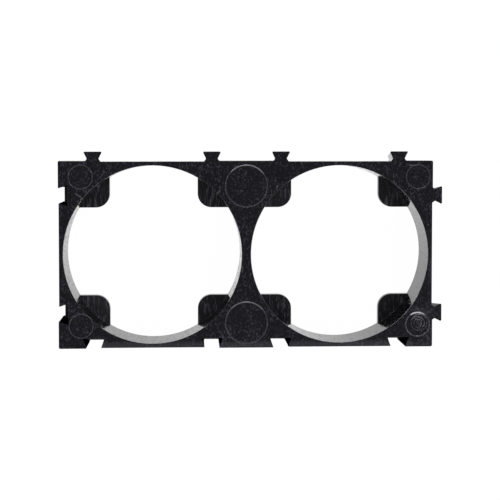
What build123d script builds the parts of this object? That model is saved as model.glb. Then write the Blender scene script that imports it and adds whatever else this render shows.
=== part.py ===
from build123d import *
import os

# Two-cell spacer bracket for 32 mm cylindrical cells, injection moulded in one piece of black ABS.
#
# The bracket lies on its lip face. +X runs along the pair of cells, +Z along the cell axes, and the
# origin is the middle of the web between the two bores, on the lip face. Each cell drops into its
# bore from +Z and stops on four corner lips. Dovetail tongues (+X and +Y sides) and sockets (-X and
# -Y sides) join bracket to bracket into a pack.

os.makedirs("parts", exist_ok=True)

# ---- Driving dimensions (mm) -------------------------------------------------------------
CELL_COUNT = 2
CELL_PITCH = 34.5  # centre to centre, and the width of one cell's square
HEIGHT = 8.0  # along the cell axes
BORE_DIAMETER = 32.8  # slip fit over a 32.2 mm cell
BORE_RIM_CHAMFER = 0.12  # broken edge where the cell enters

LIP_COUNT = 4  # one in each corner of a cell's square
LIP_THICKNESS = 1.0  # the ledge that the end of a cell stops on
LIP_CHANNEL = 16.7  # clear width between facing lips
LIP_CORNER_RADIUS = 2.6
WINDOW_DRAFT = 2.0  # degrees, narrowing towards the lip face so that the core pulls out

DOVETAIL_OFFSET = 10.9  # from a cell's centre line to each of its dovetails

TONGUE_RISE = 1.72
TONGUE_TIP = 3.44
TONGUE_NECK = 2.17
TONGUE_NECK_RISE = 0.4  # height of the narrowest place above the wall
TONGUE_ROOT_FLARE = 0.3  # how far the root spreads on each side as it meets the wall
TONGUE_TIP_RADIUS = 0.2
TONGUE_START = 1.0  # the lead-in end, above the lip face
TONGUE_LEAD_SCALE = 0.5  # size of the lead-in end against the full end

SOCKET_DEPTH = 1.8
SOCKET_MOUTH = 2.7
SOCKET_FLOOR = 3.92
SOCKET_STOP = 1.0  # thickness of the ledge that a tongue stops on
SOCKET_STOP_DEPTH = 0.4  # what is left of the socket's depth through that ledge

WALL_RELIEF = 0.12  # the wall between a pair of dovetails stands back by this
CORNER_RADIUS = 0.3

PIN_MARK_DEPTH = 0.14
PIN_MARK_TAPER = 52.0  # degrees, the sloping wall round each mark
WEB_PIN_DIAMETER = 7.8
WEB_PIN_OFFSET = 12.62
CORNER_PIN_DIAMETER = 4.5
CORNER_PIN_X = (-30.4, 31.75)
CORNER_PIN_Y = (-13.1, 14.3)

EMBED = 0.3  # overlap of a tongue's root with the wall that carries it

# ---- Derived sizes -----------------------------------------------------------------------
BODY_LENGTH = CELL_COUNT * CELL_PITCH
BODY_WIDTH = CELL_PITCH
HALF_LENGTH = BODY_LENGTH / 2
HALF_WIDTH = BODY_WIDTH / 2
DOVETAIL_SPAN = 2 * DOVETAIL_OFFSET
SOCKET_CUT = HEIGHT - SOCKET_STOP
CELL_CENTRES = [(i - (CELL_COUNT - 1) / 2) * CELL_PITCH for i in range(CELL_COUNT)]
DOVETAIL_Y = [-DOVETAIL_OFFSET, DOVETAIL_OFFSET]
DOVETAIL_X = [cell_x + side for cell_x in CELL_CENTRES for side in DOVETAIL_Y]


def tongue_outline(scale):
    """Half outline of a tongue's section, from its root in the wall to the middle of its tip."""
    neck = scale * TONGUE_NECK / 2
    tip = scale * TONGUE_TIP / 2
    root = neck + scale * TONGUE_ROOT_FLARE
    rise = scale * TONGUE_RISE
    return [
        (0, -EMBED),
        (root, -EMBED),
        (root, 0),
        (neck, scale * TONGUE_NECK_RISE),
        (tip, rise),
        (0, rise),
    ]


# ---- One tongue, standing on the XZ plane and pointing along +Y ---------------------------
with BuildPart() as tongue:
    for level, scale in ((TONGUE_START, TONGUE_LEAD_SCALE), (HEIGHT, 1.0)):
        with BuildSketch(Plane.XY.offset(level)) as section:
            with BuildLine():
                Polyline(*tongue_outline(scale), close=True)
            make_face()
            mirror(about=Plane.YZ)
            tip_ends = section.vertices().group_by(Axis.Y)[-1].sort_by(Axis.X)
            fillet([tip_ends[0], tip_ends[-1]], scale * TONGUE_TIP_RADIUS)
    loft(ruled=True)

# ---- The space of one socket, opening along -Y with its mouth on the XZ plane --------------
with BuildPart() as socket:
    with BuildSketch(Plane.XY.offset(SOCKET_STOP)):
        with BuildLine():
            Polyline(
                (-SOCKET_FLOOR / 2, SOCKET_DEPTH),
                (SOCKET_FLOOR / 2, SOCKET_DEPTH),
                (SOCKET_MOUTH / 2, 0),
                (SOCKET_MOUTH / 2, -EMBED),
                (-SOCKET_MOUTH / 2, -EMBED),
                (-SOCKET_MOUTH / 2, 0),
                close=True,
            )
        make_face()
    extrude(amount=SOCKET_CUT)
    with BuildSketch(Plane.XY):
        with Locations((0, (SOCKET_STOP_DEPTH - EMBED) / 2)):
            Rectangle(SOCKET_MOUTH, SOCKET_STOP_DEPTH + EMBED)
    extrude(amount=SOCKET_STOP)

# ---- The bracket ---------------------------------------------------------------------------
with BuildPart() as holder_bracket:
    # Block around the cells
    with BuildSketch():
        Rectangle(BODY_LENGTH, BODY_WIDTH)
    extrude(amount=HEIGHT)
    fillet(holder_bracket.edges().filter_by(Axis.Z), CORNER_RADIUS)

    # Relieved walls, one between each pair of dovetails
    with BuildSketch():
        for side in (-1, 1):
            with Locations(*[(cell_x, side * HALF_WIDTH) for cell_x in CELL_CENTRES]):
                Rectangle(DOVETAIL_SPAN, 2 * WALL_RELIEF)
            with Locations((side * HALF_LENGTH, 0)):
                Rectangle(2 * WALL_RELIEF, DOVETAIL_SPAN)
    extrude(amount=HEIGHT, mode=Mode.SUBTRACT)

    # Bores down to the lips, then the windows between the lips
    with BuildSketch(Plane.XY.offset(LIP_THICKNESS)):
        with Locations(*[(cell_x, 0) for cell_x in CELL_CENTRES]):
            Circle(BORE_DIAMETER / 2)
    extrude(amount=HEIGHT - LIP_THICKNESS, mode=Mode.SUBTRACT)
    for cell_x in CELL_CENTRES:
        with BuildSketch(Plane.XY.offset(LIP_THICKNESS)) as window:
            with Locations((cell_x, 0)):
                Rectangle(LIP_CHANNEL, BODY_WIDTH)
                Rectangle(BODY_WIDTH, LIP_CHANNEL)
                inner = window.vertices().sort_by_distance((cell_x, 0))[:LIP_COUNT]
                fillet(inner, LIP_CORNER_RADIUS)
                Circle(BORE_DIAMETER / 2, mode=Mode.INTERSECT)
        extrude(amount=-LIP_THICKNESS, taper=WINDOW_DRAFT, mode=Mode.SUBTRACT)
    rims = holder_bracket.faces().sort_by(Axis.Z)[-1].inner_wires()
    chamfer([edge for rim in rims for edge in rim.edges()], BORE_RIM_CHAMFER)

    # Ejector pin marks in the front face
    with BuildSketch(Plane.XY.offset(HEIGHT)):
        with Locations((0, WEB_PIN_OFFSET), (0, -WEB_PIN_OFFSET)):
            Circle(WEB_PIN_DIAMETER / 2)
        with Locations(*[(x, y) for x in CORNER_PIN_X for y in CORNER_PIN_Y]):
            Circle(CORNER_PIN_DIAMETER / 2)
    extrude(amount=-PIN_MARK_DEPTH, taper=PIN_MARK_TAPER, mode=Mode.SUBTRACT)

    # Tongues on the +Y and +X sides
    with Locations(*[Location((x, HALF_WIDTH, 0)) for x in DOVETAIL_X]):
        add(tongue.part)
    with Locations(*[Location((HALF_LENGTH, y, 0), (0, 0, -90)) for y in DOVETAIL_Y]):
        add(tongue.part)

    # Sockets in the -Y and -X sides
    with Locations(*[Location((x, -HALF_WIDTH, 0)) for x in DOVETAIL_X]):
        add(socket.part, mode=Mode.SUBTRACT)
    with Locations(*[Location((-HALF_LENGTH, y, 0), (0, 0, -90)) for y in DOVETAIL_Y]):
        add(socket.part, mode=Mode.SUBTRACT)

holder_bracket.part.label = "holder_bracket"
export_step(holder_bracket.part, "parts/holder_bracket.step")
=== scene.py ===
"""Studio scene of a moulded two-cell battery bracket, lying face up on a pale table."""

import logging
import math
from dataclasses import dataclass, field
from enum import Enum

import bmesh
import bpy
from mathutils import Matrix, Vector


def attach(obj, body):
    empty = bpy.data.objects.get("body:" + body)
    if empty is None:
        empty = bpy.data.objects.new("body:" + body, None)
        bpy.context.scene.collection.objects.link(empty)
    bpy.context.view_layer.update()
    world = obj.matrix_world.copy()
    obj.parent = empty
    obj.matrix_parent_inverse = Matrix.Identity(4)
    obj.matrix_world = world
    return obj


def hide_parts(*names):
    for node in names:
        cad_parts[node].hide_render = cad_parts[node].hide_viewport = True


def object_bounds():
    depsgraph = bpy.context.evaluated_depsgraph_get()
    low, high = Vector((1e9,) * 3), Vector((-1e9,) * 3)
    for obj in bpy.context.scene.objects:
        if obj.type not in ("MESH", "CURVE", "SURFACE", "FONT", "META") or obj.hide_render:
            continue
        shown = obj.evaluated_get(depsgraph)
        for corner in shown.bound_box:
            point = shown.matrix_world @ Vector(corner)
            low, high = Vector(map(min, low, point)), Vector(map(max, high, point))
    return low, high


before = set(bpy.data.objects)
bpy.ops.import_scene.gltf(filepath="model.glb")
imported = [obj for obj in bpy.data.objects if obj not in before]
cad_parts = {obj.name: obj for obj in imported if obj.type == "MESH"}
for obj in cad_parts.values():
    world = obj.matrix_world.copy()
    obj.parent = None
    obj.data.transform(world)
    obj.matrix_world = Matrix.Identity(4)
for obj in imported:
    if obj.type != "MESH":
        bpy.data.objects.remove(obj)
CAD_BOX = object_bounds()

LOG = logging.getLogger("bracket")
MM = 0.001
NODE = "holder_bracket"
BODY = "root"
WHITE = (1.0, 1.0, 1.0, 1.0)
RING_STEPS = 72
RIDGE_SIDES = 8


class Output(Enum):
    """Kinds of value that a shader group or a tree of geometry nodes takes and gives."""

    COLOUR = "NodeSocketColor"
    VALUE = "NodeSocketFloat"
    VECTOR = "NodeSocketVector"
    COUNT = "NodeSocketInt"
    SHAPE = "NodeSocketGeometry"
    FINISH = "NodeSocketMaterial"


class Tree:
    """A node tree under construction, with short calls to add and join nodes."""

    def __init__(self, tree: bpy.types.NodeTree) -> None:
        """Wraps a tree.

        Args:
            tree: the node tree to build in.
        """
        self.tree = tree

    def add(self, kind: str, inputs: dict | None = None, **settings: object) -> bpy.types.Node:
        """Adds one node.

        Args:
            kind: the node's type name.
            inputs: what goes into each input, by name or number: a value, or another node's output.
            settings: attributes of the node, such as its operation.

        Returns:
            The new node.
        """
        node = self.tree.nodes.new(kind)
        for name, value in settings.items():
            setattr(node, name, value)
        for key, value in (inputs or {}).items():
            if isinstance(value, bpy.types.NodeSocket):
                self.tree.links.new(value, node.inputs[key])
            else:
                node.inputs[key].default_value = value
        return node

    def maths(self, operation: str, *values: object) -> bpy.types.NodeSocket:
        """Adds a Math node and returns its output.

        Args:
            operation: the sum to do, such as MULTIPLY.
            values: numbers or outputs, in the node's order.

        Returns:
            The result's socket.
        """
        return self.add("ShaderNodeMath", dict(enumerate(values)), operation=operation).outputs[0]

    def vectors(self, operation: str, *values: object) -> bpy.types.Node:
        """Adds a Vector Math node.

        Args:
            operation: what to do, such as DISTANCE.
            values: vectors or outputs, in the node's order.

        Returns:
            The new node, whose result is in its outputs.
        """
        return self.add("ShaderNodeVectorMath", dict(enumerate(values)), operation=operation)

    def ramp(
        self, value: object, low: float, high: float, start: float = 0.0, end: float = 1.0
    ) -> bpy.types.NodeSocket:
        """Maps a value smoothly from one range to another, and holds it at the ends.

        Args:
            value: the number or output to map.
            low: input that gives start.
            high: input that gives end.
            start: result at low.
            end: result at high.

        Returns:
            The result's socket.
        """
        node = self.add(
            "ShaderNodeMapRange",
            {"Value": value, "From Min": low, "From Max": high, "To Min": start, "To Max": end},
            interpolation_type="SMOOTHSTEP",
        )
        return node.outputs["Result"]

    def mix(self, share: object, first: object, second: object) -> bpy.types.NodeSocket:
        """Mixes two colours.

        Args:
            share: how much of the second to take.
            first: colour or output.
            second: colour or output.

        Returns:
            The mixed colour's socket.
        """
        node = self.add("ShaderNodeMix", data_type="RGBA")
        for key, value in ((0, share), (6, first), (7, second)):
            if isinstance(value, bpy.types.NodeSocket):
                self.tree.links.new(value, node.inputs[key])
            else:
                node.inputs[key].default_value = value
        return node.outputs[2]


def shader_group(
    name: str, inputs: dict[str, tuple], outputs: dict[str, Output]
) -> tuple[Tree, bpy.types.Node, bpy.types.Node]:
    """Starts a shader node group with named inputs and outputs.

    Args:
        name: the group's name.
        inputs: each input's kind and usual value.
        outputs: each output's kind.

    Returns:
        The tree to build in, and its input and output nodes.
    """
    group = bpy.data.node_groups.new(name, "ShaderNodeTree")
    for label, (kind, value) in inputs.items():
        socket = group.interface.new_socket(label, in_out="INPUT", socket_type=kind.value)
        if value is not None:
            socket.default_value = value
    for label, kind in outputs.items():
        group.interface.new_socket(label, in_out="OUTPUT", socket_type=kind.value)
    tree = Tree(group)
    return tree, tree.add("NodeGroupInput"), tree.add("NodeGroupOutput")


def grain_group() -> bpy.types.NodeTree:
    """Builds the fine speckled grain of a spark-eroded mould face.

    Returns:
        A group that gives the grain's height and masks of its lighter specks and of its patches.
    """
    tree, given, result = shader_group(
        "moulded_grain",
        {
            "Place": (Output.VECTOR, None),
            "Grain Size": (Output.VALUE, 0.4 * MM),
            "Patch Size": (Output.VALUE, 4.0 * MM),
        },
        {"Height": Output.VALUE, "Specks": Output.VALUE, "Patches": Output.VALUE},
    )
    link = tree.tree.links.new
    fine_scale = tree.maths("DIVIDE", 1.0, given.outputs["Grain Size"])
    patch_scale = tree.maths("DIVIDE", 1.0, given.outputs["Patch Size"])
    fine = tree.add(
        "ShaderNodeTexNoise",
        {"Vector": given.outputs["Place"], "Scale": fine_scale, "Detail": 3.0, "Roughness": 0.65},
    )
    patch = tree.add(
        "ShaderNodeTexNoise",
        {"Vector": given.outputs["Place"], "Scale": patch_scale, "Detail": 4.0, "Roughness": 0.6},
    )
    link(fine.outputs[0], result.inputs["Height"])
    link(tree.ramp(fine.outputs[0], 0.50, 0.68), result.inputs["Specks"])
    link(tree.ramp(patch.outputs[0], 0.36, 0.66), result.inputs["Patches"])
    return tree.tree


def streak_group() -> bpy.types.NodeTree:
    """Builds a mask of one straight paler line between two places, used for real rubs and for painted
    highlights.

    Returns:
        A group that gives 1 on the line and 0 away from it.
    """
    tree, given, result = shader_group(
        "rub_and_highlight_line",
        {
            "Place": (Output.VECTOR, None),
            "From": (Output.VECTOR, (0.0, 0.0, 0.0)),
            "To": (Output.VECTOR, (MM, 0.0, 0.0)),
            "Width": (Output.VALUE, 0.1 * MM),
        },
        {"Mask": Output.VALUE},
    )
    run = tree.vectors("SUBTRACT", given.outputs["To"], given.outputs["From"]).outputs[0]
    reach = tree.vectors("SUBTRACT", given.outputs["Place"], given.outputs["From"]).outputs[0]
    along = tree.vectors("DOT_PRODUCT", reach, run).outputs["Value"]
    square = tree.vectors("DOT_PRODUCT", run, run).outputs["Value"]
    share = tree.add("ShaderNodeClamp", {0: tree.maths("DIVIDE", along, square)}).outputs[0]
    scaled = tree.add("ShaderNodeVectorMath", {0: run, "Scale": share}, operation="SCALE").outputs[0]
    nearest = tree.vectors("ADD", given.outputs["From"], scaled).outputs[0]
    gap = tree.vectors("DISTANCE", given.outputs["Place"], nearest).outputs["Value"]
    ratio = tree.maths("DIVIDE", gap, given.outputs["Width"])
    tree.tree.links.new(tree.ramp(ratio, 0.3, 1.0, 1.0, 0.0), result.inputs["Mask"])
    return tree.tree


@dataclass(frozen=True)
class RubAndHighlight:
    """A paler line seen from above, from one place to another, in millimetres, used for real rubs and for
    painted highlights where an edge or a ring catches the light.
    """

    start: tuple[float, float]
    end: tuple[float, float]
    width: float = 0.16
    strength: float = 0.5


@dataclass(frozen=True)
class MouldedPlastic:
    """Near-black moulded plastic with a fine grain, pale specks and a few paler lines, which are real
    rubs and painted highlights.
    """

    name: str
    dark: tuple[float, float, float, float] = (0.0020, 0.0020, 0.0038, 1.0)
    pale: tuple[float, float, float, float] = (0.056, 0.052, 0.074, 1.0)
    # Colour of the paler lines: real rubs in some places, painted highlights and painted light in others.
    rub_and_highlight_colour: tuple[float, float, float, float] = (0.16, 0.155, 0.175, 1.0)
    grain_size: float = 0.30 * MM
    patch_size: float = 2.6 * MM
    stretch: tuple[float, float, float] = (1.0, 1.0, 1.0)
    roughness: tuple[float, float] = (0.32, 0.44)
    grain_depth: float = 0.03 * MM
    specular: float = 0.10
    rubs_and_highlights: tuple[RubAndHighlight, ...] = ()
    bump_strength: float = 0.6
    rub_and_highlight_height: float = 8.0 * MM

    def add_rubs_and_highlights(
        self, tree: Tree, place: bpy.types.NodeSocket, colour: object, rub_and_highlight_group: bpy.types.NodeTree
    ) -> object:
        """Lays the rubs and painted highlights over a colour.

        Args:
            tree: the material's tree.
            place: the place on the piece.
            colour: the colour under the rubs and painted highlights.
            rub_and_highlight_group: the shared group that masks one paler line, for rubs and painted
                highlights alike.

        Returns:
            The colour with the rubs and painted highlights.
        """
        for line in self.rubs_and_highlights:
            mark = tree.add("ShaderNodeGroup", node_tree=rub_and_highlight_group)
            tree.tree.links.new(place, mark.inputs["Place"])
            for label, (x, y) in (("From", line.start), ("To", line.end)):
                mark.inputs[label].default_value = (x * MM, y * MM, self.rub_and_highlight_height)
            mark.inputs["Width"].default_value = line.width * MM
            share = tree.maths("MULTIPLY", mark.outputs["Mask"], line.strength)
            colour = tree.mix(share, colour, self.rub_and_highlight_colour)
        return colour

    def build(self, grain: bpy.types.NodeTree, rub_and_highlight_group: bpy.types.NodeTree) -> bpy.types.Material:
        """Makes the material.

        Args:
            grain: the shared group of moulded grain.
            rub_and_highlight_group: the shared group that masks one paler line, for rubs and painted
                highlights alike.

        Returns:
            The finished material.
        """
        material = bpy.data.materials.new(self.name)
        material.use_nodes = True
        material.node_tree.nodes.clear()
        tree = Tree(material.node_tree)
        place = tree.add("ShaderNodeTexCoord").outputs["Object"]
        drawn = tree.add("ShaderNodeMapping", {"Vector": place, "Scale": self.stretch}).outputs[0]
        texture = tree.add("ShaderNodeGroup", node_tree=grain)
        texture.inputs["Grain Size"].default_value = self.grain_size
        texture.inputs["Patch Size"].default_value = self.patch_size
        tree.tree.links.new(drawn, texture.inputs["Place"])
        patches = tree.ramp(texture.outputs["Patches"], 0.0, 1.0, 0.35, 1.0)
        speckle = tree.maths("MULTIPLY", texture.outputs["Specks"], patches)
        colour = self.add_rubs_and_highlights(tree, place, tree.mix(speckle, self.dark, self.pale), rub_and_highlight_group)
        rough = tree.ramp(texture.outputs["Patches"], 0.0, 1.0, *self.roughness)
        bump = tree.add(
            "ShaderNodeBump",
            {
                "Strength": self.bump_strength,
                "Distance": self.grain_depth,
                "Height": texture.outputs["Height"],
            },
        )
        surface = tree.add(
            "ShaderNodeBsdfPrincipled",
            {
                "Base Color": colour,
                "Roughness": rough,
                "Normal": bump.outputs[0],
                "Specular IOR Level": self.specular,
            },
        )
        tree.add("ShaderNodeOutputMaterial", {"Surface": surface.outputs[0]})
        return material


def place_piece(piece: bpy.types.Object, *replaced: str) -> None:
    """Declares a finished piece of the bracket.

    Args:
        piece: the piece, in its place.
        replaced: CAD nodes that it stands for.
    """
    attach(piece, BODY)
    for node in replaced:
        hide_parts(node)
    LOG.info("%s: %d faces", piece.name, len(piece.data.polygons))


class Surface(Enum):
    """The moulding's surfaces, by the number of their finish."""

    FACE = 0
    BORE_WALL = 1
    BORE_RIM = 2
    LIP = 3
    SOCKET_WALL = 4
    OUTER_WALL = 5


@dataclass
class Moulding:
    """The bracket's moulding: the CAD solid with its edges broken as the mould leaves them."""

    edge_radius: float = 0.09 * MM
    edge_segments: int = 2
    sharp_angle: float = 25.0
    merge_gap: float = 0.001 * MM
    wall_slope: float = 0.3
    level_slope: float = 0.999
    flat_area: float = 0.5 * MM * MM
    bore_axes: tuple[float, ...] = (-17.25 * MM, 17.25 * MM)
    bore_radius: float = 16.4 * MM
    bore_reach: float = 0.25 * MM
    rim_reach: float = 0.30 * MM
    rim_level: float = 7.5 * MM
    lip_height: float = 1.0 * MM
    lip_reach: float = 0.1 * MM
    socket_reach: tuple[float, float] = (0.2 * MM, 1.9 * MM)
    end_wall: float = 34.6 * MM
    face_finish: MouldedPlastic = field(
        default_factory=lambda: MouldedPlastic(
            "black_abs_face",
            stretch=(1.0, 0.6, 1.0),
            rubs_and_highlights=(
                # Painted highlights: the first three lines are paler bands along the bottom and right
                # edges, where the broken edge catches the lamps.
                RubAndHighlight((-28.4, -17.0), (30.0, -17.0), 1.3, 0.15),
                RubAndHighlight((30.0, -17.0), (34.3, -17.0), 1.2, 0.05),
                RubAndHighlight((34.2, -16.0), (34.2, 4.0), 0.9, 0.03),
                # Small real scuffs on the face.
                RubAndHighlight((-31.3, 11.3), (-30.2, 10.5), 0.2, 0.35),
                RubAndHighlight((-29.9, 9.6), (-30.2, 10.2), 0.25, 0.7),
                RubAndHighlight((-29.2, 11.2), (-28.9, 11.4), 0.22, 0.5),
                RubAndHighlight((4.9, 9.7), (5.3, 10.4), 0.2, 0.5),
                RubAndHighlight((30.2, 16.4), (31.2, 16.3), 0.25, 0.35),
                # Painted highlight: a paler band on the face above the top arc of the lower-right pin
                # mark, where the light from the front falls.
                RubAndHighlight((31.4, -10.5), (33.2, -11.0), 0.9, 0.12),
                # Small real scuffs on the face.
                RubAndHighlight((-5.2, 11.4), (-4.9, 11.7), 0.25, 0.3),
                RubAndHighlight((5.6, 12.4), (5.7, 12.6), 0.25, 0.4),
                RubAndHighlight((-0.8, -3.2), (-0.7, -2.2), 0.2, 0.3),
            ),
        )
    )
    wall_finish: MouldedPlastic = field(
        default_factory=lambda: MouldedPlastic(
            "black_abs_drawn_wall",
            dark=(0.0010, 0.0010, 0.0014, 1.0),
            pale=(0.020, 0.020, 0.022, 1.0),
            patch_size=0.5 * MM,
            roughness=(0.02, 0.23),
            stretch=(1.0, 1.0, 0.22),
            grain_depth=0.0016 * MM,
            specular=0.5,
        )
    )
    # Painted highlight: the bore rims are coloured far paler than the face, standing in for the light
    # that the rounded rim edge catches, and the paler lines on them are painted highlights where the rims
    # catch the lamps most.
    rim_painted_highlight: MouldedPlastic = field(
        default_factory=lambda: MouldedPlastic(
            "black_abs_rim_painted_highlight",
            dark=(0.040, 0.039, 0.045, 1.0),
            pale=(0.15, 0.145, 0.16, 1.0),
            rub_and_highlight_colour=(0.42, 0.42, 0.46, 1.0),
            roughness=(0.28, 0.38),
            rubs_and_highlights=(
                RubAndHighlight((27.4, 13.2), (30.3, 10.0), 1.0, 0.9),
                RubAndHighlight((31.6, -7.9), (29.7, -10.8), 1.0, 0.85),
                RubAndHighlight((29.7, -10.8), (27.2, -13.0), 1.0, 0.45),
                RubAndHighlight((-30.4, 9.8), (-27.2, 13.0), 0.8, 0.35),
            ),
        )
    )
    # Painted light: the lips are coloured paler than the face to make up for the shade that the bore
    # walls cast on them, and the broad paler patches are painted pools of light on the lips that the
    # lamps reach.
    lip_painted_light: MouldedPlastic = field(
        default_factory=lambda: MouldedPlastic(
            "black_abs_lip_painted_light",
            dark=(0.0052, 0.0049, 0.0072, 1.0),
            pale=(0.115, 0.110, 0.130, 1.0),
            grain_size=0.22 * MM,
            stretch=(1.0, 0.12, 1.0),
            rubs_and_highlights=(
                RubAndHighlight((-28.5, -10.0), (-26.5, -12.0), 5.0, 0.10),
                RubAndHighlight((5.0, 10.0), (7.0, 12.0), 5.0, 0.035),
                RubAndHighlight((-7.0, -12.0), (-6.0, -10.0), 4.0, 0.02),
            ),
            rub_and_highlight_height=1.0 * MM,
        )
    )
    side_finish: MouldedPlastic = field(
        default_factory=lambda: MouldedPlastic(
            "black_abs_side_wall",
            pale=(0.040, 0.038, 0.046, 1.0),
            stretch=(1.0, 1.0, 0.3),
            roughness=(0.05, 0.14),
            grain_depth=0.002 * MM,
            specular=0.5,
        )
    )
    # Painted shade: the socket walls are coloured darker than the face and given no specular, standing in
    # for the shade inside the sockets.
    socket_painted_shade: MouldedPlastic = field(
        default_factory=lambda: MouldedPlastic(
            "black_abs_socket_wall_painted_shade",
            dark=(0.0008, 0.0008, 0.0012, 1.0),
            pale=(0.004, 0.0038, 0.005, 1.0),
            stretch=(1.0, 1.0, 0.3),
            roughness=(0.55, 0.70),
            specular=0.0,
        )
    )

    def build_mesh(self) -> bpy.types.Object:
        """Copies the CAD solid, merges its loose triangles and rounds its edges, inside the solid's box.

        Returns:
            The moulding, as a plain mesh.
        """
        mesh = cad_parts[NODE].data.copy()
        shape = bmesh.new()
        shape.from_mesh(mesh)
        bmesh.ops.remove_doubles(shape, verts=shape.verts, dist=self.merge_gap)
        clean = bpy.data.meshes.new("bracket_moulding")
        shape.to_mesh(clean)
        shape.free()
        clean.shade_smooth()
        clean.set_sharp_from_angle(angle=math.radians(self.sharp_angle))
        rough_piece = bpy.data.objects.new("bracket_moulding", clean)
        bpy.context.scene.collection.objects.link(rough_piece)
        bevel = rough_piece.modifiers.new("broken_edges", "BEVEL")
        bevel.width = self.edge_radius
        bevel.segments = self.edge_segments
        bevel.limit_method = "ANGLE"
        bevel.angle_limit = math.radians(self.sharp_angle)
        bevel.use_clamp_overlap = False
        bevel.harden_normals = True
        view = bpy.context.evaluated_depsgraph_get()
        finished = bpy.data.meshes.new_from_object(rough_piece.evaluated_get(view))
        rough_piece.modifiers.remove(bevel)
        for vertex in finished.vertices:
            for side, (low, high) in enumerate(zip(*CAD_BOX)):
                vertex.co[side] = min(max(vertex.co[side], low), high)
        rough_piece.data = finished
        return rough_piece

    def surface_of(self, face: bpy.types.MeshPolygon) -> Surface:
        """Tells which of the moulding's surfaces a face belongs to."""
        reaches = [math.hypot(face.center.x - axis, face.center.y) for axis in self.bore_axes]
        past_bore = min(reaches, key=lambda reach: abs(reach - self.bore_radius)) - self.bore_radius
        upright = abs(face.normal.z) < self.wall_slope
        lying = abs(face.normal.z) > 1.0 - self.wall_slope
        if upright and abs(past_bore) < self.bore_reach:
            return Surface.BORE_WALL
        if not lying and abs(past_bore) < self.rim_reach and face.center.z > self.rim_level:
            return Surface.BORE_RIM
        if face.normal.z > 0 and abs(face.center.z - self.lip_height) < self.lip_reach:
            return Surface.LIP
        inset = min(face.center.x - CAD_BOX[0][0], face.center.y - CAD_BOX[0][1])
        if upright and self.socket_reach[0] < inset < self.socket_reach[1]:
            return Surface.SOCKET_WALL
        return Surface.OUTER_WALL if upright and face.center.x < self.end_wall else Surface.FACE

    def dress(self, piece: bpy.types.Object, grain: bpy.types.NodeTree, rub_and_highlight_group: bpy.types.NodeTree) -> None:
        """Gives faces and walls their finishes.

        Args:
            piece: the moulding.
            grain: the shared group of moulded grain.
            rub_and_highlight_group: the shared group that masks one paler line, for rubs and painted
                highlights alike.
        """
        piece.data.materials.clear()
        for finish in (
            self.face_finish,
            self.wall_finish,
            self.rim_painted_highlight,
            self.lip_painted_light,
            self.socket_painted_shade,
            self.side_finish,
        ):
            piece.data.materials.append(finish.build(grain, rub_and_highlight_group))
        for face in piece.data.polygons:
            face.material_index = self.surface_of(face).value

    def true_normals(self, piece: bpy.types.Object) -> None:
        """Squares the shading normals: bore walls to the bores' axes, and flat faces to themselves.

        Args:
            piece: the dressed moulding.
        """
        mesh = piece.data
        normals = [corner.vector.copy() for corner in mesh.corner_normals]
        for face in mesh.polygons:
            flat = abs(face.normal.z) > self.level_slope or face.area > self.flat_area
            if face.material_index == Surface.BORE_WALL.value:
                axis = min(self.bore_axes, key=lambda centre: abs(centre - face.center.x))
                for corner in face.loop_indices:
                    point = mesh.vertices[mesh.loops[corner].vertex_index].co
                    normals[corner] = Vector((axis - point.x, -point.y, 0.0)).normalized()
            elif flat:
                for corner in face.loop_indices:
                    normals[corner] = face.normal.copy()
        mesh.normals_split_custom_set(normals)

    def build(self, grain: bpy.types.NodeTree, rub_and_highlight_group: bpy.types.NodeTree) -> None:
        """Makes the moulding.

        Args:
            grain: the shared group of moulded grain.
            rub_and_highlight_group: the shared group that masks one paler line, for rubs and painted
                highlights alike.
        """
        piece = self.build_mesh()
        self.dress(piece, grain, rub_and_highlight_group)
        self.true_normals(piece)
        place_piece(piece, NODE)


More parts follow.
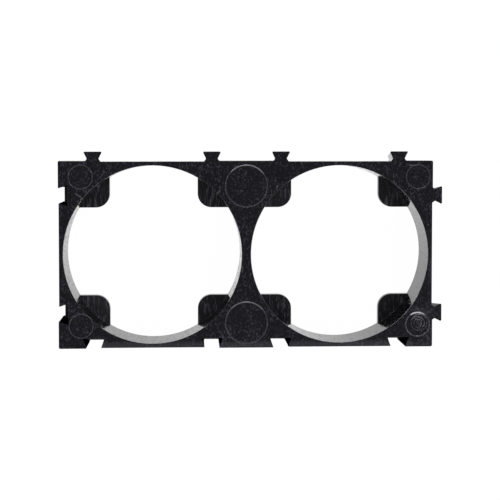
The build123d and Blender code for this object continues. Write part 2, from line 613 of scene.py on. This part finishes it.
def turned_rings_tree() -> bpy.types.NodeTree:
    """Builds a tree that turns concentric ridges round each point it is given.

    Returns:
        The tree of geometry nodes, with named inputs.
    """
    group = bpy.data.node_groups.new("turned_rings", "GeometryNodeTree")
    for label, kind in (
        ("Centres", Output.SHAPE),
        ("Outer Radius", Output.VALUE),
        ("Pitch", Output.VALUE),
        ("Rings", Output.COUNT),
        ("Ridge Radius", Output.VALUE),
        ("Unevenness", Output.VALUE),
        ("Seed", Output.COUNT),
        ("Finish", Output.FINISH),
    ):
        group.interface.new_socket(label, in_out="INPUT", socket_type=kind.value)
    group.interface.new_socket("Ridges", in_out="OUTPUT", socket_type=Output.SHAPE.value)
    tree = Tree(group)
    given = tree.add("NodeGroupInput").outputs
    result = tree.add("NodeGroupOutput")
    line = tree.add("GeometryNodeMeshLine", {"Count": given["Rings"], "Offset": (0.0, 0.0, 0.0)})
    circle = tree.add("GeometryNodeCurvePrimitiveCircle", {"Resolution": RING_STEPS, "Radius": 1.0})
    index = tree.add("GeometryNodeInputIndex").outputs[0]
    jitter = tree.add(
        "FunctionNodeRandomValue",
        {"Min": (-1.0, -1.0, 0.0), "Max": (1.0, 1.0, 0.0), "Seed": given["Seed"]},
        data_type="FLOAT_VECTOR",
    ).outputs[0]
    slip = tree.add(
        "ShaderNodeVectorMath",
        {0: jitter, "Scale": given["Unevenness"]},
        operation="SCALE",
    )
    spread = tree.add("GeometryNodeSetPosition", {"Geometry": line.outputs[0], "Offset": slip.outputs[0]})
    radius = tree.maths("SUBTRACT", given["Outer Radius"], tree.maths("MULTIPLY", index, given["Pitch"]))
    rings = tree.add(
        "GeometryNodeInstanceOnPoints",
        {"Points": spread.outputs[0], "Instance": circle.outputs[0], "Scale": radius},
    )
    lines = tree.add("GeometryNodeRealizeInstances", {0: rings.outputs[0]})
    section = tree.add(
        "GeometryNodeCurvePrimitiveCircle",
        {"Resolution": RIDGE_SIDES, "Radius": given["Ridge Radius"]},
    )
    ridges = tree.add(
        "GeometryNodeCurveToMesh",
        {"Curve": lines.outputs[0], "Profile Curve": section.outputs[0]},
    )
    smooth = tree.add("GeometryNodeSetShadeSmooth", {"Geometry": ridges.outputs[0]})
    placed = tree.add(
        "GeometryNodeInstanceOnPoints",
        {"Points": given["Centres"], "Instance": smooth.outputs[0]},
    )
    solid = tree.add("GeometryNodeRealizeInstances", {0: placed.outputs[0]})
    dressed = tree.add(
        "GeometryNodeSetMaterial",
        {"Geometry": solid.outputs[0], "Material": given["Finish"]},
    )
    tree.tree.links.new(dressed.outputs[0], result.inputs[0])
    return group


@dataclass(frozen=True)
class RingSet:
    """Concentric ridges round some of the ejector pin marks, in millimetres."""

    name: str
    centres: tuple[tuple[float, float], ...]
    level: float
    outer_radius: float
    pitch: float = 0.3
    rings: int = 1
    ridge_radius: float = 0.065
    unevenness: float = 0.0
    seed: int = 3


@dataclass
class PinMarks:
    """The witness lines and turning marks that the ejector pins leave in the front face."""

    face: float = 8.0
    depth: float = 0.14
    web_radius: float = 3.9
    corner_radius: float = 2.25
    web: tuple[tuple[float, float], ...] = ((0.0, 12.62), (0.0, -12.62))
    corners: tuple[tuple[float, float], ...] = ((-30.4, 14.3), (31.75, 14.3), (-30.4, -13.1))
    lower_right_corner: tuple[tuple[float, float], ...] = ((31.75, -13.1),)
    lower_right_turning: tuple[tuple[float, float], ...] = ((31.95, -12.75),)
    lower_right_turning_radius: float = 1.50
    turning_margin: float = 0.5
    line_radius: float = 0.14
    line_sink: float = 0.10
    line_inset: float = 0.04
    # Painted highlight: the witness lines are coloured paler than the face, standing in for the light
    # that their slopes catch, and the lines along the top arcs of the two web marks are painted
    # highlights from the front lamps.
    line_painted_highlight: MouldedPlastic = field(
        default_factory=lambda: MouldedPlastic(
            "black_abs_witness_line_painted_highlight",
            dark=(0.034, 0.033, 0.039, 1.0),
            pale=(0.14, 0.136, 0.155, 1.0),
            rub_and_highlight_colour=(0.30, 0.30, 0.34, 1.0),
            roughness=(0.20, 0.30),
            specular=0.12,
            rubs_and_highlights=(
                RubAndHighlight((-2.4, 15.6), (0.0, 16.5), 0.9, 0.5),
                RubAndHighlight((0.0, 16.5), (2.6, 15.4), 0.9, 0.5),
                RubAndHighlight((-2.4, -9.6), (0.0, -8.8), 0.9, 0.35),
                RubAndHighlight((0.0, -8.8), (2.6, -9.7), 0.9, 0.35),
            ),
        )
    )
    # Painted highlight: the lower-right mark's line and turning marks are coloured paler still, standing
    # in for the light from the front and right lamps that falls most on this mark, with brighter painted
    # highlight lines, most of all along its top arc.
    lower_right_painted_highlight: MouldedPlastic = field(
        default_factory=lambda: MouldedPlastic(
            "black_abs_lower_right_painted_highlight",
            dark=(0.040, 0.037, 0.048, 1.0),
            pale=(0.22, 0.215, 0.24, 1.0),
            rub_and_highlight_colour=(0.60, 0.61, 0.66, 1.0),
            patch_size=1.2 * MM,
            roughness=(0.16, 0.30),
            specular=0.15,
            rubs_and_highlights=(
                RubAndHighlight((30.9, -11.05), (31.9, -10.85), 0.7, 1.0),
                RubAndHighlight((31.9, -10.85), (32.6, -11.1), 0.5, 0.6),
                RubAndHighlight((31.2, -11.8), (32.7, -12.0), 0.8, 0.2),
                RubAndHighlight((32.4, -13.3), (33.2, -12.9), 0.5, 0.25),
            ),
        )
    )
    # Painted highlight: the turning marks are coloured paler than the face, standing in for the glints
    # along their fine ridges.
    turned_painted_highlight: MouldedPlastic = field(
        default_factory=lambda: MouldedPlastic(
            "black_abs_turned_mark_painted_highlight",
            dark=(0.010, 0.0095, 0.012, 1.0),
            pale=(0.09, 0.086, 0.10, 1.0),
            roughness=(0.26, 0.38),
        )
    )

    def witness_lines(self, name: str, centres: tuple, radius: float, thinning: float = 0.0) -> RingSet:
        """Gives the raised line round some of the marks.

        Args:
            name: the set's name.
            centres: the marks' places.
            radius: the marks' radius at the front face.
            thinning: how much less the line's own radius is than the usual one.

        Returns:
            The set of lines.
        """
        level = self.face - self.line_sink
        line_radius = self.line_radius - thinning
        return RingSet(name, centres, level, radius - self.line_inset, ridge_radius=line_radius)

    def sets(self) -> list[tuple[RingSet, MouldedPlastic]]:
        """Lists the ridges and their finishes: a line round each mark, and turning marks inside it."""
        floor = self.face - self.depth
        web, corner = self.web_radius, self.corner_radius
        web_turning = RingSet(
            "web_turning_marks",
            self.web,
            floor,
            web - self.turning_margin,
            pitch=0.42,
            rings=7,
            ridge_radius=0.018,
            unevenness=0.03,
            seed=5,
        )
        corner_turning = RingSet(
            "corner_turning_marks",
            self.corners,
            floor,
            corner - self.turning_margin,
            pitch=0.36,
            rings=4,
            ridge_radius=0.018,
            unevenness=0.03,
            seed=7,
        )
        lower_right_turning = RingSet(
            "lower_right_turning_marks",
            self.lower_right_turning,
            floor,
            self.lower_right_turning_radius,
            pitch=0.26,
            rings=6,
            ridge_radius=0.038,
            unevenness=0.24,
            seed=9,
        )
        corner_lines = self.witness_lines("corner_witness_lines", self.corners, corner, thinning=0.02)
        lower_right_line = self.witness_lines("lower_right_witness_line", self.lower_right_corner, corner, thinning=-0.02)
        return [
            (self.witness_lines("web_witness_lines", self.web, web), self.line_painted_highlight),
            (corner_lines, self.line_painted_highlight),
            (lower_right_line, self.lower_right_painted_highlight),
            (web_turning, self.turned_painted_highlight),
            (corner_turning, self.turned_painted_highlight),
            (lower_right_turning, self.lower_right_painted_highlight),
        ]

    def build_set(self, rings: RingSet, tree: bpy.types.NodeTree, material: bpy.types.Material) -> None:
        """Makes one set of ridges.

        Args:
            rings: the set's places and sizes.
            tree: the tree that turns the ridges.
            material: the ridges' finish.
        """
        points = bpy.data.meshes.new(rings.name)
        points.from_pydata([(x * MM, y * MM, rings.level * MM) for x, y in rings.centres], [], [])
        piece = bpy.data.objects.new(rings.name, points)
        bpy.context.scene.collection.objects.link(piece)
        modifier = piece.modifiers.new("turned_rings", "NODES")
        modifier.node_group = tree
        values = {
            "Outer Radius": rings.outer_radius * MM,
            "Pitch": rings.pitch * MM,
            "Rings": rings.rings,
            "Ridge Radius": rings.ridge_radius * MM,
            "Unevenness": rings.unevenness * MM,
            "Seed": rings.seed,
            "Finish": material,
        }
        for socket in tree.interface.items_tree:
            if socket.in_out == "INPUT" and socket.name in values:
                modifier[socket.identifier] = values[socket.name]
        view = bpy.context.evaluated_depsgraph_get()
        finished = bpy.data.meshes.new_from_object(piece.evaluated_get(view))
        piece.modifiers.remove(modifier)
        piece.data = finished
        place_piece(piece)

    def build(self, grain: bpy.types.NodeTree, rub_and_highlight_group: bpy.types.NodeTree) -> None:
        """Makes every set of ridges.

        Args:
            grain: the shared group of moulded grain.
            rub_and_highlight_group: the shared group that masks one paler line, for rubs and painted
                highlights alike.
        """
        tree = turned_rings_tree()
        finishes = (self.line_painted_highlight, self.lower_right_painted_highlight, self.turned_painted_highlight)
        materials = {finish.name: finish.build(grain, rub_and_highlight_group) for finish in finishes}
        for rings, finish in self.sets():
            self.build_set(rings, tree, materials[finish.name])


@dataclass(frozen=True)
class Lamp:
    """One soft rectangular lamp, in metres and watts."""

    name: str
    place: tuple[float, float, float]
    target: tuple[float, float, float]
    size: tuple[float, float]
    power: float

    def build(self) -> None:
        """Makes the lamp and aims it."""
        data = bpy.data.lights.new(self.name, "AREA")
        data.shape = "RECTANGLE"
        data.size, data.size_y = self.size
        data.energy = self.power
        lamp = bpy.data.objects.new(self.name, data)
        lamp.location = self.place
        aim = Vector(self.target) - Vector(self.place)
        lamp.rotation_euler = aim.to_track_quat("-Z", "Y").to_euler()
        bpy.context.scene.collection.objects.link(lamp)
        LOG.info("lamp %s", self.name)


@dataclass
class Studio:
    """Pale table, even room light, soft lamps and the camera."""

    floor_half: float = 1.5
    floor_gap: float = 0.03 * MM
    floor_colour: tuple[float, float, float, float] = (0.82, 0.82, 0.82, 1.0)
    floor_glow: float = 0.93
    floor_strength: float = 1.05
    room_light: float = 0.12
    lens: float = 75.8
    camera_place: tuple[float, float, float] = (-10.21 * MM, 19.21 * MM, 200.94 * MM)
    camera_turn: tuple[float, float, float] = (-2.0108, -1.8612, -0.0533)
    shift: tuple[float, float] = (0.05, -0.1258)
    nearest: float = 10.0 * MM
    lamps: tuple[Lamp, ...] = (
        Lamp("key_softbox", (0.42, -0.52, 0.66), (0.0, 0.0, 0.0), (0.6, 0.6), 2.3),
        Lamp("front_low", (0.0, -0.9, 0.42), (0.0, 0.0, 0.0), (1.0, 0.4), 3.4),
        Lamp("back_low", (0.0, 0.9, 0.42), (0.0, 0.0, 0.0), (1.0, 0.4), 6.2),
        Lamp("left_low", (-0.9, 0.0, 0.42), (0.0, 0.0, 0.0), (1.0, 0.4), 3.2),
        Lamp("right_low", (0.9, 0.0, 0.42), (0.0, 0.0, 0.0), (1.0, 0.4), 2.2),
    )

    @staticmethod
    def white_rays(tree: Tree) -> bpy.types.NodeSocket:
        """Gives 1 for rays that find the ground white: the camera's, mirrored or through glass."""
        ray = tree.add("ShaderNodeLightPath").outputs
        seen = tree.maths("MAXIMUM", ray["Is Camera Ray"], ray["Is Glossy Ray"])
        return tree.maths("MAXIMUM", seen, ray["Is Transmission Ray"])

    def build_floor(self) -> None:
        """Makes the table top: white to the camera and in mirrors, shadowed, and clear from below."""
        side, level = self.floor_half, CAD_BOX[0][2] - self.floor_gap
        corners = [(x * side, y * side, level) for x, y in ((-1, -1), (1, -1), (1, 1), (-1, 1))]
        mesh = bpy.data.meshes.new("table_top")
        mesh.from_pydata(corners, [], [(0, 1, 2, 3)])
        floor = bpy.data.objects.new("table_top", mesh)
        bpy.context.scene.collection.objects.link(floor)
        material = bpy.data.materials.new("table_white")
        material.use_nodes = True
        material.node_tree.nodes.clear()
        tree = Tree(material.node_tree)
        matte = tree.add("ShaderNodeBsdfDiffuse", {"Color": self.floor_colour})
        glow = tree.add("ShaderNodeEmission", {"Color": WHITE, "Strength": self.floor_strength})
        share = tree.maths("MULTIPLY", self.white_rays(tree), self.floor_glow)
        both = tree.add("ShaderNodeMixShader", {0: share, 1: matte.outputs[0], 2: glow.outputs[0]})
        below = tree.add("ShaderNodeNewGeometry").outputs["Backfacing"]
        clear = tree.add("ShaderNodeBsdfTransparent")
        top = tree.add("ShaderNodeMixShader", {0: below, 1: both.outputs[0], 2: clear.outputs[0]})
        tree.add("ShaderNodeOutputMaterial", {"Surface": top.outputs[0]})
        mesh.materials.append(material)
        LOG.info("table top")

    def build_room(self) -> None:
        """Lights the room evenly, and shows it white to the camera and in mirrors."""
        world = bpy.data.worlds.new("studio")
        world.use_nodes = True
        world.node_tree.nodes.clear()
        tree = Tree(world.node_tree)
        strength = tree.ramp(self.white_rays(tree), 0.0, 1.0, self.room_light, 1.0)
        light = tree.add("ShaderNodeBackground", {"Color": WHITE, "Strength": strength})
        tree.add("ShaderNodeOutputWorld", {"Surface": light.outputs[0]})
        bpy.context.scene.world = world
        bpy.context.scene.view_settings.view_transform = "Standard"
        LOG.info("room light")

    def build_camera(self) -> None:
        """Sets the camera above the bracket, looking almost straight down."""
        data = bpy.data.cameras.new("camera")
        data.lens = self.lens
        data.shift_x, data.shift_y = self.shift
        data.clip_start = self.nearest
        camera = bpy.data.objects.new("camera", data)
        camera.location = self.camera_place
        camera.rotation_euler = [math.radians(turn) for turn in self.camera_turn]
        bpy.context.scene.collection.objects.link(camera)
        bpy.context.scene.camera = camera
        LOG.info("camera")

    def build(self) -> None:
        """Makes everything around the bracket."""
        self.build_camera()
        self.build_floor()
        self.build_room()
        for lamp in self.lamps:
            lamp.build()


def main() -> None:
    """Builds the scene."""
    logging.basicConfig(level=logging.INFO, format="%(name)s: %(message)s")
    grain = grain_group()
    rub_and_highlight_group = streak_group()
    Studio().build()
    Moulding().build(grain, rub_and_highlight_group)
    PinMarks().build(grain, rub_and_highlight_group)


if __name__ == "__main__":
    main()
